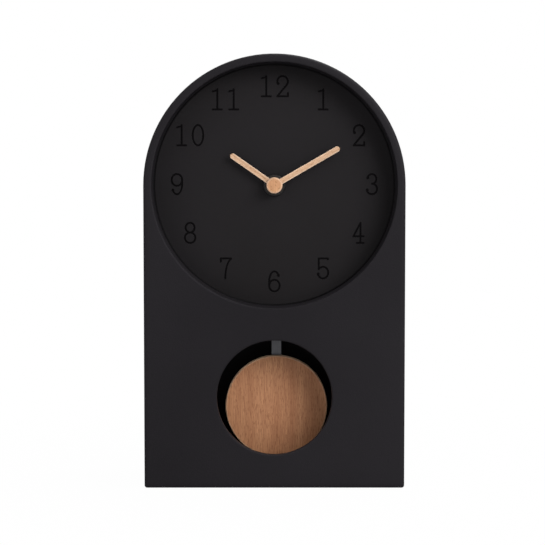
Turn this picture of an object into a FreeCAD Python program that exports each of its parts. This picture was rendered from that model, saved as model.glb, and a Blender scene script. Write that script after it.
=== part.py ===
import FreeCAD, Part
import math
import os

os.makedirs("parts", exist_ok=True)

# Desk pendulum clock. Millimetres, +Z up, X across, the dial looks along -Y.
# The origin is the middle of the footprint, on the surface that the clock stands on.

vector = FreeCAD.Vector
along_y = vector(0, 1, 0)
overrun = 1.0

# Case
case_width = 120.0
case_height = 200.0
case_depth = 55.0
corner_radius = 1.2
front_thickness = 3.0
front_edge_radius = 0.8
hole_edge_radius = 0.4
shell_wall = 2.6
bottom_thickness = 5.0
board_gap = 0.2
ring_wall = 1.0
ring_gap = 0.1
dial_depth = 16.0
dial_thickness = 3.0
dial_lip = 3.0
window_to_opening = 14.8
window_to_floor = 15.9
back_thickness = 3.0
access_margin = 3.0
access_corner = 4.0

# Foot pads
pad_radius = 4.0
pad_thickness = 1.5
pad_proud = 0.5
pad_gap = 0.1
pad_inset_x = 10.0
pad_inset_y = 9.0

# Glue blocks and the screws of the back panel
block_width = 10.0
block_depth = 10.0
block_height = 14.0
dial_block_lift = 8.0
screw_radius = 1.5
screw_head_radius = 2.7
screw_head_depth = 1.5
screw_length = 11.0
screw_gap = 0.15
screw_slot_width = 0.6
screw_slot_depth = 0.7

# Numerals, cut into the dial
numeral_inset = 10.8
numeral_lift = 0.5
numeral_height = 10.3
numeral_width = 5.8
numeral_pitch = 7.6
numeral_stroke = 0.9
numeral_depth = 0.4
ball_share = 0.78

# Hands and the stack on the hand shaft
hour_angle = 305.0
minute_angle = 60.0
hour_hand_length = 24.8
minute_hand_length = 34.7
hand_width = 2.6
hand_thickness = 1.2
hand_edge_radius = 0.25
hour_boss_radius = 3.7
minute_boss_radius = 3.2
collet_wall = 0.6
collet_flange = 0.5
collet_flange_thickness = 0.2
collet_proud = 0.2
hand_gap = 0.7
cap_radius = 3.72
cap_thickness = 2.2
cap_edge_radius = 0.6
cap_socket_depth = 1.0
bush_radius = 3.5
bush_flange_radius = 5.0
bush_flange_thickness = 0.7
bush_proud = 0.4
bush_gap = 0.1
nut_radius = 5.0
nut_thickness = 2.5
nut_edge_radius = 0.5
nut_slot_width = 1.2
nut_slot_depth = 0.8
nut_to_hand = 0.5
washer_radius = 9.0
washer_thickness = 1.0

# Movement housing
movement_above_axis = 28.0
movement_below_axis = 56.0
movement_depth = 16.5
movement_corner = 3.0
housing_wall = 1.4
front_case_depth = 8.5
running_gap = 0.05
layer_gap = 0.3
wheel_thickness = 0.9
plate_thickness = 1.0
plate_margin = 2.6
plate_above_axis = 24.0
plate_below_axis = 10.0
post_radius = 1.5
post_inset = 3.0
boss_radius = 1.0
stator_peg_radius = 1.0
snap_width = 6.0
snap_thickness = 0.8
snap_reach = 4.0
snap_root = 2.0
snap_rim = 1.0
snap_catch_length = 1.2
snap_catch_rise = 0.5
snap_gap = 0.15
snap_above_axis = 16.0
snap_below_axis = 44.0

# Gear train: tooth counts, modules and arbors
rotor_leaves = 8
intermediate_teeth = 48
intermediate_leaves = 8
second_teeth = 40
second_leaves = 8
third_teeth = 64
third_leaves = 8
centre_teeth = 60
cannon_teeth = 15
motion_teeth = 45
motion_leaves = 10
hour_teeth = 40
knob_teeth = 15
rotor_module = 0.22
second_module = 0.28
centre_module = 0.27
motion_module = 0.25
addendum_share = 0.80
dedendum_share = 1.10
tip_half_share = 0.09
root_half_share = 0.26
minute_arbor_radius = 1.6
hour_tube_radius = 2.5
arbor_radius = 0.5
pivot_radius = 0.4
pivot_length = 0.8
motion_post_radius = 0.6
clutch_radius = 2.6
clutch_thickness = 0.3
clutch_gap = 0.1
magnet_radius = 3.0
magnet_thickness = 2.2

# Set knob
knob_radius = 6.5
knob_thickness = 2.6
knob_gap = 0.3
knob_shaft_radius = 1.2
knob_pivot_radius = 0.8
knob_grooves = 20
knob_groove_radius = 0.6
knob_recess_radius = 4.2
knob_recess_depth = 0.6

# Stator, coil and circuit
stator_thickness = 0.8
stator_half_height = 4.5
stator_reach = 10.0
stator_arm_width = 4.0
stator_hole_gap = 0.4
core_width = 3.0
core_height_above_axis = 17.0
bobbin_wall = 0.5
bobbin_gap = 0.1
bobbin_flange = 0.6
bobbin_half_height = 4.0
bobbin_half_depth = 2.4
winding_inset = 0.4
board_thickness = 1.0
board_to_roof = 1.0
board_bar_height = 4.0
board_block_left = 3.0
board_block_height = 16.5
board_edge_margin = 1.1
chip_radius = 2.5
chip_thickness = 0.8
chip_x = 20.0
chip_above_axis = 14.0
crystal_radius = 1.0
crystal_length = 6.0
crystal_edge_radius = 0.25
crystal_x = 8.0
crystal_above_axis = 19.0

# Battery and its contacts
battery_radius = 7.1
battery_length = 49.2
battery_nub_radius = 2.6
battery_nub_length = 1.3
battery_end_radius = 0.6
battery_gap = 0.3
battery_end_gap = 0.5
battery_below_axis = 20.0
bay_clearance = 0.5
bay_wall = 1.2
bay_gap = 0.1
contact_thickness = 0.3
contact_bump = 1.3
contact_bump_half = 3.0
contact_notch = 0.4
contact_end_inset = 1.0

# Pendulum and its drive
pendulum_x = 1.0
pivot_below_axis = 34.0
hanger_pin_radius = 0.75
hanger_eye_radius = 2.6
hanger_boss_radius = 2.0
hanger_thickness = 2.5
hanger_half_width = 2.0
hanger_drop = 26.5
hanger_setback = 7.8
hanger_side_gap = 0.3
hook_above_end = 2.0
hook_radius = 0.9
hook_head_radius = 1.5
hook_head_thickness = 0.6
hook_slack = 0.1
slot_half_width = 7.5
slot_margin = 1.0
drive_magnet_radius = 3.5
drive_magnet_thickness = 1.9
drive_magnet_drop = 12.0
hanger_pad_radius = 5.0
coil_gap = 0.8
coil_inner_radius = 2.4
coil_outer_radius = 6.0
coil_flange_radius = 6.4
coil_flange_thickness = 0.6
coil_winding_length = 2.0
coil_peg_radius = 1.6
drive_board_above_pivot = 4.5
drive_board_below_pivot = 4.0
rod_half_width = 2.25
rod_thickness = 0.5
rod_above_hook = 2.5
rod_eye_radius = 1.7
rod_eye_drop = 3.2
bob_margin = 2.3
bob_below_window = 7.3
bob_thickness = 3.5
bob_edge_radius = 0.6
bob_groove_gap = 0.1
bob_plate_share = 0.588
bob_plate_thickness = 1.0
rod_end_share = 0.5

# Places that follow from the sizes above
front_y = -case_depth / 2
back_y = case_depth / 2
arch_radius = case_width / 2
axis_z = case_height - arch_radius
inner_half = arch_radius - shell_wall
ring_outer_radius = inner_half - ring_gap
opening_radius = ring_outer_radius - ring_wall
numeral_ring_radius = opening_radius - numeral_inset
window_radius = (axis_z - opening_radius - window_to_opening - window_to_floor) / 2
window_centre_height = window_to_floor + window_radius
panel_back_y = front_y + front_thickness
dial_y = front_y + dial_depth
dial_back_y = dial_y + dial_thickness
dial_bottom_z = axis_z - ring_outer_radius - dial_lip
floor_top_z = pad_proud + bottom_thickness
back_panel_y = back_y - back_thickness
block_y = back_panel_y - block_depth

movement_y = dial_back_y + washer_thickness
floor_y = movement_y + housing_wall
split_y = movement_y + front_case_depth
movement_back_y = movement_y + movement_depth
roof_y = movement_back_y - housing_wall
movement_top_z = axis_z + movement_above_axis
movement_bottom_z = axis_z - movement_below_axis
contact_span = battery_gap + battery_end_gap + contact_bump + 2 * contact_thickness
housing_inner_half = (battery_length + battery_nub_length + contact_span) / 2
movement_half_width = housing_inner_half + housing_wall
plate_half_width = housing_inner_half - plate_margin

hour_wheel_y = floor_y + layer_gap
motion_wheel_y = hour_wheel_y + wheel_thickness + layer_gap
centre_wheel_y = motion_wheel_y + wheel_thickness + layer_gap
clutch_y = centre_wheel_y + wheel_thickness + clutch_gap
arbor_end_y = clutch_y + clutch_thickness
third_wheel_y = arbor_end_y + layer_gap
plate_y = third_wheel_y + wheel_thickness + layer_gap
plate_back_y = plate_y + plate_thickness
second_wheel_y = plate_back_y + layer_gap
intermediate_wheel_y = second_wheel_y + wheel_thickness + layer_gap
magnet_y = intermediate_wheel_y + wheel_thickness + layer_gap
stator_y = magnet_y + layer_gap
core_y = stator_y + stator_thickness
board_y = roof_y - board_to_roof - board_thickness

hour_module = motion_module * (cannon_teeth + motion_teeth) / (motion_leaves + hour_teeth)
third_module = centre_module * (third_leaves + centre_teeth) / (second_leaves + third_teeth)
motion_x = motion_module * (cannon_teeth + motion_teeth) / 2
knob_x = motion_x + motion_module * (motion_teeth + knob_teeth) / 2
third_z = axis_z + centre_module * (third_leaves + centre_teeth) / 2
intermediate_x = -second_module * (intermediate_leaves + second_teeth) / 2
rotor_x = intermediate_x - rotor_module * (rotor_leaves + intermediate_teeth) / 2

nut_y = dial_y - nut_thickness
bush_front_y = nut_y - bush_proud
hour_hand_back_y = bush_front_y - nut_to_hand
hour_hand_y = hour_hand_back_y - hand_thickness
hour_tube_end_y = hour_hand_y - collet_proud
minute_hand_back_y = hour_hand_y - hand_gap
minute_hand_y = minute_hand_back_y - hand_thickness
cap_y = minute_hand_y - cap_thickness
arbor_tip_y = minute_hand_y - cap_socket_depth

battery_z = axis_z - battery_below_axis
battery_y = floor_y + battery_gap + battery_radius
bay_half = battery_radius + bay_clearance
bay_top_z = battery_z + bay_half + bay_wall
bay_bottom_z = battery_z - bay_half - bay_wall
contact_x = housing_inner_half
battery_nub_x = contact_x - contact_thickness - battery_gap
battery_body_x = battery_nub_x - battery_nub_length
battery_end_x = battery_body_x - battery_length

pivot_z = axis_z - pivot_below_axis
hanger_y = movement_y + hanger_setback
hanger_back_y = hanger_y + hanger_thickness
hook_z = pivot_z - hanger_drop + hook_above_end
drive_magnet_z = pivot_z - drive_magnet_drop
coil_y = hanger_back_y + coil_gap
coil_end_y = coil_y + 2 * coil_flange_thickness + coil_winding_length
rod_y = hanger_y - hook_slack - rod_thickness
rod_back_y = rod_y + rod_thickness
bob_y = rod_back_y - bob_thickness
bob_radius = window_radius - bob_margin
bob_centre_height = window_centre_height - bob_below_window


# Plain solids

def cylinder(radius, x, z, y_from, y_to):
    return Part.makeCylinder(radius, y_to - y_from, vector(x, y_from, z), along_y)


def tube(radius, bore, x, z, y_from, y_to):
    outer = cylinder(radius, x, z, y_from, y_to)
    return outer.cut(cylinder(bore, x, z, y_from - overrun, y_to + overrun))


def cone(radius_from, radius_to, x, z, y_from, y_to):
    return Part.makeCone(radius_from, radius_to, y_to - y_from, vector(x, y_from, z), along_y)


def box(x_from, x_to, y_from, y_to, z_from, z_to):
    corner = vector(x_from, y_from, z_from)
    return Part.makeBox(x_to - x_from, y_to - y_from, z_to - z_from, corner)


def prism(corners, y_from, y_to):
    loop = [vector(x, y_from, z) for x, z in corners]
    face = Part.Face(Part.makePolygon(loop + loop[:1]))
    return face.extrude(vector(0, y_to - y_from, 0))


def fuse(solids):
    whole = solids[0].multiFuse(solids[1:])
    return whole.removeSplitter()


def arch(half_width, bottom_z, y_from, y_to, corner=0):
    """A prism of the case's outline: a round head on straight sides."""
    left = vector(-half_width, y_from, axis_z)
    right = vector(half_width, y_from, axis_z)
    crown = vector(0, y_from, axis_z + half_width)
    low_left = vector(-half_width, y_from, bottom_z + corner)
    low_right = vector(half_width, y_from, bottom_z + corner)
    foot_left = vector(-half_width + corner, y_from, bottom_z)
    foot_right = vector(half_width - corner, y_from, bottom_z)
    edges = [Part.Arc(left, crown, right).toShape()]
    edges.append(Part.LineSegment(right, low_right).toShape())
    if corner:
        reach = corner * (1 - math.sqrt(0.5))
        middle = vector(half_width - reach, y_from, bottom_z + reach)
        edges.append(Part.Arc(low_right, middle, foot_right).toShape())
    edges.append(Part.LineSegment(foot_right, foot_left).toShape())
    if corner:
        middle = vector(-half_width + reach, y_from, bottom_z + reach)
        edges.append(Part.Arc(foot_left, middle, low_left).toShape())
    edges.append(Part.LineSegment(low_left, left).toShape())
    return Part.Face(Part.Wire(edges)).extrude(vector(0, y_to - y_from, 0))


def rounded_box(x_half, z_from, z_to, y_from, y_to, corner):
    solid = box(-x_half, x_half, y_from, y_to, z_from, z_to)
    upright = [edge for edge in solid.Edges if abs(edge.tangentAt(edge.FirstParameter).y) > 0.5]
    return solid.makeFillet(corner, upright)


def edges_at(solid, y):
    """The edges of a solid that lie whole in the plane at y."""
    slack = hole_edge_radius / 100
    return [edge for edge in solid.Edges
            if abs(edge.BoundBox.YMin - y) < slack and abs(edge.BoundBox.YMax - y) < slack]


def circular_edges(solid):
    return [edge for edge in solid.Edges if hasattr(edge.Curve, "Radius")]


def round_edges(solid, y, x, z, radius):
    """The circular edges at y round the axis through x and z, with this radius."""
    slack = hole_edge_radius / 100
    found = []
    for edge in edges_at(solid, y):
        curve = edge.Curve
        if hasattr(curve, "Radius") and abs(curve.Radius - radius) < slack:
            if math.hypot(curve.Center.x - x, curve.Center.z - z) < slack:
                found.append(edge)
    return found


# Gears

def toothed_disc(teeth, module, x, z, y_from, y_to, first_tooth):
    """A wheel blank with straight-flanked teeth; first_tooth is an angle in degrees from +X to +Z."""
    tip = module * (teeth / 2 + addendum_share)
    root = module * (teeth / 2 - dedendum_share)
    pitch = 2 * math.pi / teeth
    corners = []
    for tooth in range(teeth):
        middle = math.radians(first_tooth) + tooth * pitch
        flanks = ((root, -root_half_share), (tip, -tip_half_share),
                  (tip, tip_half_share), (root, root_half_share))
        for radius, share in flanks:
            angle = middle + share * pitch
            corners.append((x + radius * math.cos(angle), z + radius * math.sin(angle)))
    return prism(corners, y_from, y_to)


def meshed_tooth(teeth, first_tooth, direction, other_teeth):
    """The first tooth's angle on a gear that meshes with this one, which it meets in this direction."""
    pitches = (direction - first_tooth) * teeth / 360
    return direction + 180 + (pitches % 1 + 0.5) * 360 / other_teeth


# Case

def front_panel():
    panel = arch(arch_radius, pad_proud, front_y, panel_back_y, corner_radius)
    panel = panel.makeFillet(front_edge_radius, edges_at(panel, front_y))
    cut_from = front_y - overrun
    cut_to = panel_back_y + overrun
    panel = panel.cut(cylinder(opening_radius, 0, axis_z, cut_from, cut_to))
    panel = panel.cut(cylinder(window_radius, 0, window_centre_height, cut_from, cut_to))
    rims = round_edges(panel, front_y, 0, axis_z, opening_radius)
    rims += round_edges(panel, front_y, 0, window_centre_height, window_radius)
    return panel.makeFillet(hole_edge_radius, rims)


def case_shell():
    shell = arch(arch_radius, pad_proud, panel_back_y, back_y, corner_radius)
    cavity = arch(inner_half, pad_proud - overrun, panel_back_y - overrun, back_y + overrun)
    return shell.cut(cavity)


def pad_places():
    x = arch_radius - pad_inset_x
    y = back_y - pad_inset_y
    return [(-x, -y), (x, -y), (-x, y), (x, y)]


def bottom_board():
    board = box(-inner_half, inner_half, panel_back_y, back_y, pad_proud, floor_top_z)
    pocket_top = pad_thickness
    for x, y in pad_places():
        pocket = Part.makeCylinder(pad_radius + pad_gap, pocket_top + overrun, vector(x, y, -overrun))
        board = board.cut(pocket)
    return board


def foot_pads():
    return [Part.makeCylinder(pad_radius, pad_thickness, vector(x, y, 0)) for x, y in pad_places()]


def recess_ring():
    return tube(ring_outer_radius, opening_radius, 0, axis_z, panel_back_y, dial_y)


def block_places():
    """The x side, low z and low y of each glue block: four for the back panel, two for the dial."""
    upper_z = axis_z - block_height
    dial_block_z = dial_bottom_z + dial_block_lift
    places = []
    for side in (-1, 1):
        places.append((side, floor_top_z, block_y))
        places.append((side, upper_z, block_y))
        places.append((side, dial_block_z, dial_back_y))
    return places


def screw_places():
    x = inner_half - block_width / 2
    return [(side * x, z + block_height / 2) for side, z, y in block_places() if y == block_y]


def glue_blocks():
    blocks = []
    for side, z, y in block_places():
        x = side * (inner_half - block_width / 2)
        half = block_width / 2
        block = box(x - half, x + half, y, y + block_depth, z, z + block_height)
        if y == block_y:
            screw_from = back_y - screw_length
            block = block.cut(cylinder(screw_radius, x, z + block_height / 2, screw_from, back_y))
        blocks.append(block)
    return blocks


def back_panel():
    outline = arch(inner_half - board_gap, floor_top_z + board_gap, back_panel_y, back_y)
    access = rounded_box(movement_half_width + access_margin, movement_bottom_z,
                         movement_top_z + access_margin, back_panel_y - overrun, back_y + overrun,
                         access_corner)
    panel = outline.cut(access)
    for x, z in screw_places():
        head_y = back_y - screw_head_depth
        bore = screw_radius + screw_gap
        panel = panel.cut(cylinder(bore, x, z, back_panel_y - overrun, back_y))
        panel = panel.cut(cone(bore, screw_head_radius + screw_gap, x, z, head_y, back_y))
    return panel


def back_panel_screws():
    screws = []
    for x, z in screw_places():
        head_y = back_y - screw_head_depth
        shank = cylinder(screw_radius, x, z, back_y - screw_length, head_y)
        screw = fuse([shank, cone(screw_radius, screw_head_radius, x, z, head_y, back_y)])
        reach = screw_radius
        half = screw_slot_width / 2
        slot_y = back_y - screw_slot_depth
        screw = screw.cut(box(x - reach, x + reach, slot_y, back_y + overrun, z - half, z + half))
        screw = screw.cut(box(x - half, x + half, slot_y, back_y + overrun, z - reach, z + reach))
        screws.append(screw)
    return screws


# Dial. Each numeral is a list of strokes, in shares of its half width and half height:
# a bar from point to point, a bow of an oval from angle to angle, or a ball at a point.

glyph_shares = {
    "0": [("bow", 0, 0, 1, 1, 0, 360)],
    "1": [("bar", 0, 1, 0, -1), ("bar", 0, 0.90, -0.85, 0.78), ("bar", -0.85, -1, 0.85, -1)],
    "2": [("bow", 0, 0.45, 1, 0.55, -25, 200), ("ball", -0.84, 0.26), ("bar", 0.906, 0.218, -1, -1),
          ("bar", -1, -1, 1, -1), ("bar", 1, -1, 1, -0.68)],
    "3": [("bow", 0, 0.52, 0.85, 0.48, -90, 165), ("ball", -0.78, 0.62),
          ("bow", 0, -0.48, 1, 0.52, -165, 90), ("ball", -0.90, -0.58)],
    "4": [("bar", 0.34, 1, 0.34, -1), ("bar", 0.34, 1, -1, -0.34), ("bar", -1, -0.34, 0.95, -0.34),
          ("bar", -0.35, -1, 0.95, -1)],
    "5": [("bar", -0.85, 1, 0.92, 1), ("bar", 0.92, 1, 0.92, 0.90), ("bar", -0.82, 1, -0.82, -0.09),
          ("bow", 0, -0.42, 1, 0.58, -165, 145), ("ball", -0.92, -0.55)],
    "6": [("bow", 0, 0, 1, 1, 38, 180), ("ball", 0.76, 0.60), ("bar", -1, 0, -1, -0.42),
          ("bow", 0, -0.42, 1, 0.58, 0, 360)],
    "7": [("bar", -0.95, 1, 1, 1), ("bar", -0.95, 1, -0.95, 0.68), ("bow", 1.35, -1, 1.45, 2, 104, 180)],
    "8": [("bow", 0, 0.52, 0.85, 0.48, 0, 360), ("bow", 0, -0.48, 1, 0.52, 0, 360)],
    "9": [("bow", 0, 0.42, 1, 0.58, 0, 360), ("bar", 1, 0.42, 1, 0), ("bow", 0, 0, 1, 1, 218, 360),
          ("ball", -0.76, -0.60)],
}

numeral_half_width = (numeral_width - numeral_stroke) / 2
numeral_half_height = (numeral_height - numeral_stroke) / 2
cut_depth = numeral_depth + overrun


def oval_arc(x, y, radius_x, radius_y, start, end):
    centre = vector(x, y, 0)
    side = vector(x + radius_x, y, 0)
    top = vector(x, y + radius_y, 0)
    if radius_y > radius_x:
        curve = Part.Ellipse(top, side, centre)
        return Part.ArcOfEllipse(curve, math.radians(90 - end), math.radians(90 - start)).toShape()
    curve = Part.Ellipse(side, top, centre)
    return Part.ArcOfEllipse(curve, math.radians(start), math.radians(end)).toShape()


def bow(x, y, radius_x, radius_y, start, end):
    half = numeral_stroke / 2
    outer = oval_arc(x, y, radius_x + half, radius_y + half, start, end)
    inner = oval_arc(x, y, radius_x - half, radius_y - half, start, end)
    lift = vector(0, 0, cut_depth)
    if end - start == 360:
        blank = Part.Face(Part.Wire([outer])).extrude(lift)
        return [blank.cut(Part.Face(Part.Wire([inner])).extrude(lift))]
    ends = []
    solids = []
    for angle in (math.radians(start), math.radians(end)):
        ray = vector(math.cos(angle), math.sin(angle), 0)
        near = vector(x + (radius_x - half) * ray.x, y + (radius_y - half) * ray.y, 0)
        far = vector(x + (radius_x + half) * ray.x, y + (radius_y + half) * ray.y, 0)
        ends.append(Part.LineSegment(near, far).toShape())
        solids.append(Part.makeCylinder(half, cut_depth, (near + far) / 2))
    loop = Part.Wire(Part.__sortEdges__([outer, inner] + ends))
    solids.append(Part.Face(loop).extrude(lift))
    return solids


def bar(x_from, y_from, x_to, y_to):
    half = numeral_stroke / 2
    start = vector(x_from, y_from, 0)
    run = vector(x_to, y_to, 0) - start
    slab = Part.makeBox(run.Length, numeral_stroke, cut_depth, vector(0, -half, 0))
    slab.rotate(vector(0, 0, 0), vector(0, 0, 1), math.degrees(math.atan2(run.y, run.x)))
    slab.translate(start)
    ends = [Part.makeCylinder(half, cut_depth, point) for point in (start, start + run)]
    return [slab] + ends


def digit(character, x):
    """The cutter of one digit, flat on the XY plane and centred at x."""
    across = numeral_half_width
    up = numeral_half_height
    solids = []
    for stroke in glyph_shares[character]:
        kind = stroke[0]
        if kind == "ball":
            centre = vector(x + stroke[1] * across, stroke[2] * up, 0)
            solids.append(Part.makeCylinder(numeral_stroke * ball_share, cut_depth, centre))
        elif kind == "bar":
            solids += bar(x + stroke[1] * across, stroke[2] * up, x + stroke[3] * across, stroke[4] * up)
        else:
            solids += bow(x + stroke[1] * across, stroke[2] * up, stroke[3] * across, stroke[4] * up,
                          stroke[5], stroke[6])
    return fuse(solids)


def numeral(hour):
    """The cutter of one hour's numeral, stood up and set in the dial's face."""
    text = str(hour)
    first_x = -numeral_pitch * (len(text) - 1) / 2
    cutters = []
    for place, character in enumerate(text):
        cutters.append(digit(character, first_x + place * numeral_pitch))
    cutter = Part.makeCompound(cutters)
    cutter.rotate(vector(0, 0, 0), vector(1, 0, 0), 90)
    angle = math.radians(30 * hour)
    x = numeral_ring_radius * math.sin(angle)
    z = axis_z + numeral_lift + numeral_ring_radius * math.cos(angle)
    cutter.translate(vector(x, dial_y + numeral_depth, z))
    return cutter


def dial_plate():
    plate = arch(inner_half - board_gap, dial_bottom_z, dial_y, dial_back_y)
    plate = plate.cut(cylinder(bush_radius + bush_gap, 0, axis_z, dial_y - overrun, dial_back_y + overrun))
    for hour in range(1, 13):
        plate = plate.cut(numeral(hour).Solids)
    return plate


# Hands and the parts on their shaft

def hand(length, boss_radius, bore, y_from):
    y_to = y_from + hand_thickness
    half = hand_width / 2
    blade_end = axis_z + length - half
    blade = box(-half, half, y_from, y_to, axis_z, blade_end)
    tip = cylinder(half, 0, blade_end, y_from, y_to)
    boss = cylinder(boss_radius, 0, axis_z, y_from, y_to)
    shape = fuse([blade, tip, boss])
    shape = shape.makeFillet(hand_edge_radius, edges_at(shape, y_from))
    return shape.cut(cylinder(bore, 0, axis_z, y_from - overrun, y_to + overrun))


def turned(shape, clockwise):
    shape.rotate(vector(0, 0, axis_z), along_y, clockwise)
    return shape


def hour_hand():
    bore = hour_tube_radius + collet_wall
    return turned(hand(hour_hand_length, hour_boss_radius, bore, hour_hand_y), hour_angle)


def minute_hand():
    bore = minute_arbor_radius + collet_wall
    return turned(hand(minute_hand_length, minute_boss_radius, bore, minute_hand_y), minute_angle)


def collet(bore, front, back):
    sleeve = cylinder(bore + collet_wall, 0, axis_z, front, back)
    flange = cylinder(bore + collet_wall + collet_flange, 0, axis_z, back, back + collet_flange_thickness)
    body = fuse([sleeve, flange])
    return body.cut(cylinder(bore, 0, axis_z, front - overrun, back + collet_flange_thickness + overrun))


def hour_hand_collet():
    return collet(hour_tube_radius, hour_tube_end_y, hour_hand_back_y)


def minute_hand_collet():
    return collet(minute_arbor_radius, minute_hand_y, minute_hand_back_y)


def hub_cap():
    cap = cylinder(cap_radius, 0, axis_z, cap_y, minute_hand_y)
    cap = cap.makeFillet(cap_edge_radius, edges_at(cap, cap_y))
    return cap.cut(cylinder(minute_arbor_radius, 0, axis_z, arbor_tip_y, minute_hand_y + overrun))


def threaded_bush():
    flange_y = floor_y - bush_flange_thickness
    shank = cylinder(bush_radius, 0, axis_z, bush_front_y, flange_y)
    flange = cylinder(bush_flange_radius, 0, axis_z, flange_y, floor_y)
    bore = cylinder(hour_tube_radius + running_gap, 0, axis_z, bush_front_y - overrun, floor_y + overrun)
    return fuse([shank, flange]).cut(bore)


def fixing_nut():
    nut = cylinder(nut_radius, 0, axis_z, nut_y, dial_y)
    nut = nut.makeFillet(nut_edge_radius, edges_at(nut, nut_y))
    nut = nut.cut(cylinder(bush_radius, 0, axis_z, nut_y - overrun, dial_y + overrun))
    half = nut_slot_width / 2
    reach = nut_radius + overrun
    return nut.cut(box(-reach, reach, nut_y - overrun, nut_y + nut_slot_depth,
                       axis_z - half, axis_z + half))


def rubber_washer():
    return tube(washer_radius, bush_radius + bush_gap, 0, axis_z, dial_back_y, movement_y)


# Movement housing

def housing_block(y_from, y_to, inset=0):
    low = movement_bottom_z + inset
    high = movement_top_z - inset
    return rounded_box(movement_half_width - inset, low, high, y_from, y_to, movement_corner - inset)


def pendulum_slot():
    """The opening in the housing's underside that the hanger swings in."""
    x_from = pendulum_x - slot_half_width
    x_to = pendulum_x + slot_half_width
    z_to = movement_bottom_z + housing_wall + overrun
    y_from = hanger_y - slot_margin
    y_to = hanger_back_y + slot_margin
    return box(x_from, x_to, y_from, y_to, movement_bottom_z - overrun, z_to)


def snap_places():
    """The side and height of each snap between the two halves of the housing."""
    return [(side, z) for side in (-1, 1) for z in (axis_z - snap_below_axis, axis_z + snap_above_axis)]


def beside(side, thickness, y_from, y_to, z, half_height):
    """A flat box on the outside of the housing's left or right wall."""
    inner = side * movement_half_width
    outer = side * (movement_half_width + thickness)
    return box(min(inner, outer), max(inner, outer), y_from, y_to, z - half_height, z + half_height)


def snap_catches():
    y_to = split_y - snap_rim
    half = snap_width / 2 - snap_rim - snap_gap
    y_from = y_to - snap_catch_length
    return [beside(side, snap_catch_rise, y_from, y_to, z, half) for side, z in snap_places()]


def snap_tongues():
    tongues = []
    for side, z in snap_places():
        tongue = beside(side, snap_thickness, split_y - snap_reach, split_y + snap_root, z, snap_width / 2)
        window_y = split_y - snap_rim + snap_gap
        window_from = window_y - snap_catch_length - 2 * snap_gap
        half = snap_width / 2 - snap_rim
        tongues.append(tongue.cut(beside(side, snap_thickness + overrun, window_from, window_y, z, half)))
    return tongues


def post_places():
    x = plate_half_width - post_inset
    low = axis_z - plate_below_axis + post_inset
    high = axis_z + plate_above_axis - post_inset
    return [(-x, low), (x, low), (-x, high), (x, high)]


def blind_hole(radius, x, z, y):
    """A pivot hole in the front case's floor, open to the back."""
    return cylinder(radius + running_gap, x, z, y - pivot_length - layer_gap, y + overrun)


def movement_front_case():
    case = housing_block(movement_y, split_y)
    case = case.cut(housing_block(floor_y, split_y + overrun, housing_wall))
    additions = snap_catches()
    additions += [cylinder(post_radius, x, z, floor_y, plate_y) for x, z in post_places()]
    motion_post_end = centre_wheel_y - layer_gap / 2
    additions.append(cylinder(motion_post_radius, motion_x, axis_z, floor_y, motion_post_end))
    additions.append(cylinder(hanger_boss_radius, pendulum_x, pivot_z, floor_y, hanger_y - hanger_side_gap))
    case = fuse([case] + additions)
    flange_y = floor_y - bush_flange_thickness
    case = case.cut(cylinder(bush_radius + bush_gap, 0, axis_z, movement_y - overrun, floor_y + overrun))
    case = case.cut(cylinder(bush_flange_radius, 0, axis_z, flange_y, floor_y + overrun))
    case = case.cut(blind_hole(pivot_radius, 0, third_z, floor_y))
    case = case.cut(blind_hole(knob_pivot_radius, knob_x, axis_z, floor_y))
    case = case.cut(cylinder(hanger_pin_radius, pendulum_x, pivot_z, floor_y, hanger_y))
    return case.cut(pendulum_slot())


def bay_walls():
    half = housing_inner_half - bay_gap
    y_from = floor_y + bay_gap
    upper = box(-half, half, y_from, roof_y, bay_top_z - bay_wall, bay_top_z)
    lower = box(-half, half, y_from, roof_y, bay_bottom_z, bay_bottom_z + bay_wall)
    notch_x = contact_x - contact_thickness - contact_notch
    walls = []
    for wall in (upper, lower):
        for side in (-1, 1):
            x_from = min(side * notch_x, side * (half + overrun))
            x_to = max(side * notch_x, side * (half + overrun))
            wall = wall.cut(box(x_from, x_to, y_from - overrun, roof_y,
                                bay_bottom_z - overrun, bay_top_z + overrun))
        walls.append(wall)
    return walls


def roof_boss(x, z, radius, y_from, pivot):
    """A post from the rear case's inside to y_from, with a pivot hole in its end."""
    post = cylinder(radius, x, z, y_from, roof_y)
    hole_end = y_from + pivot_length + layer_gap
    return post.cut(cylinder(pivot + running_gap, x, z, y_from - overrun, hole_end))


def movement_rear_case():
    case = housing_block(split_y, movement_back_y)
    case = case.cut(housing_block(split_y - overrun, roof_y, housing_wall))
    wheel_end = intermediate_wheel_y + wheel_thickness + layer_gap
    hanger_boss_y = hanger_back_y + hanger_side_gap
    additions = bay_walls() + snap_tongues()
    additions.append(roof_boss(0, axis_z, boss_radius, second_boss_y(), pivot_radius))
    additions.append(roof_boss(intermediate_x, axis_z, boss_radius, wheel_end, pivot_radius))
    additions.append(roof_boss(rotor_x, axis_z, boss_radius, rotor_boss_y(), pivot_radius))
    additions.append(cylinder(hanger_boss_radius, pendulum_x, pivot_z, hanger_boss_y, roof_y))
    additions.append(cylinder(coil_peg_radius, pendulum_x, drive_magnet_z, coil_y, roof_y))
    for x, z in board_peg_places():
        additions.append(cylinder(boss_radius, x, z, board_y + board_thickness, roof_y))
    case = fuse([case] + additions)
    bay = housing_inner_half
    case = case.cut(box(-bay, bay, roof_y - overrun, movement_back_y + overrun, battery_z - bay_half,
                        battery_z + bay_half))
    case = case.cut(cylinder(knob_shaft_radius + running_gap, knob_x, axis_z, roof_y - overrun,
                             movement_back_y + overrun))
    case = case.cut(cylinder(hanger_pin_radius, pendulum_x, pivot_z, hanger_y, roof_y))
    return case.cut(pendulum_slot())


def second_boss_y():
    return second_wheel_y + wheel_thickness + layer_gap


def rotor_boss_y():
    return magnet_y + magnet_thickness + layer_gap


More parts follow.
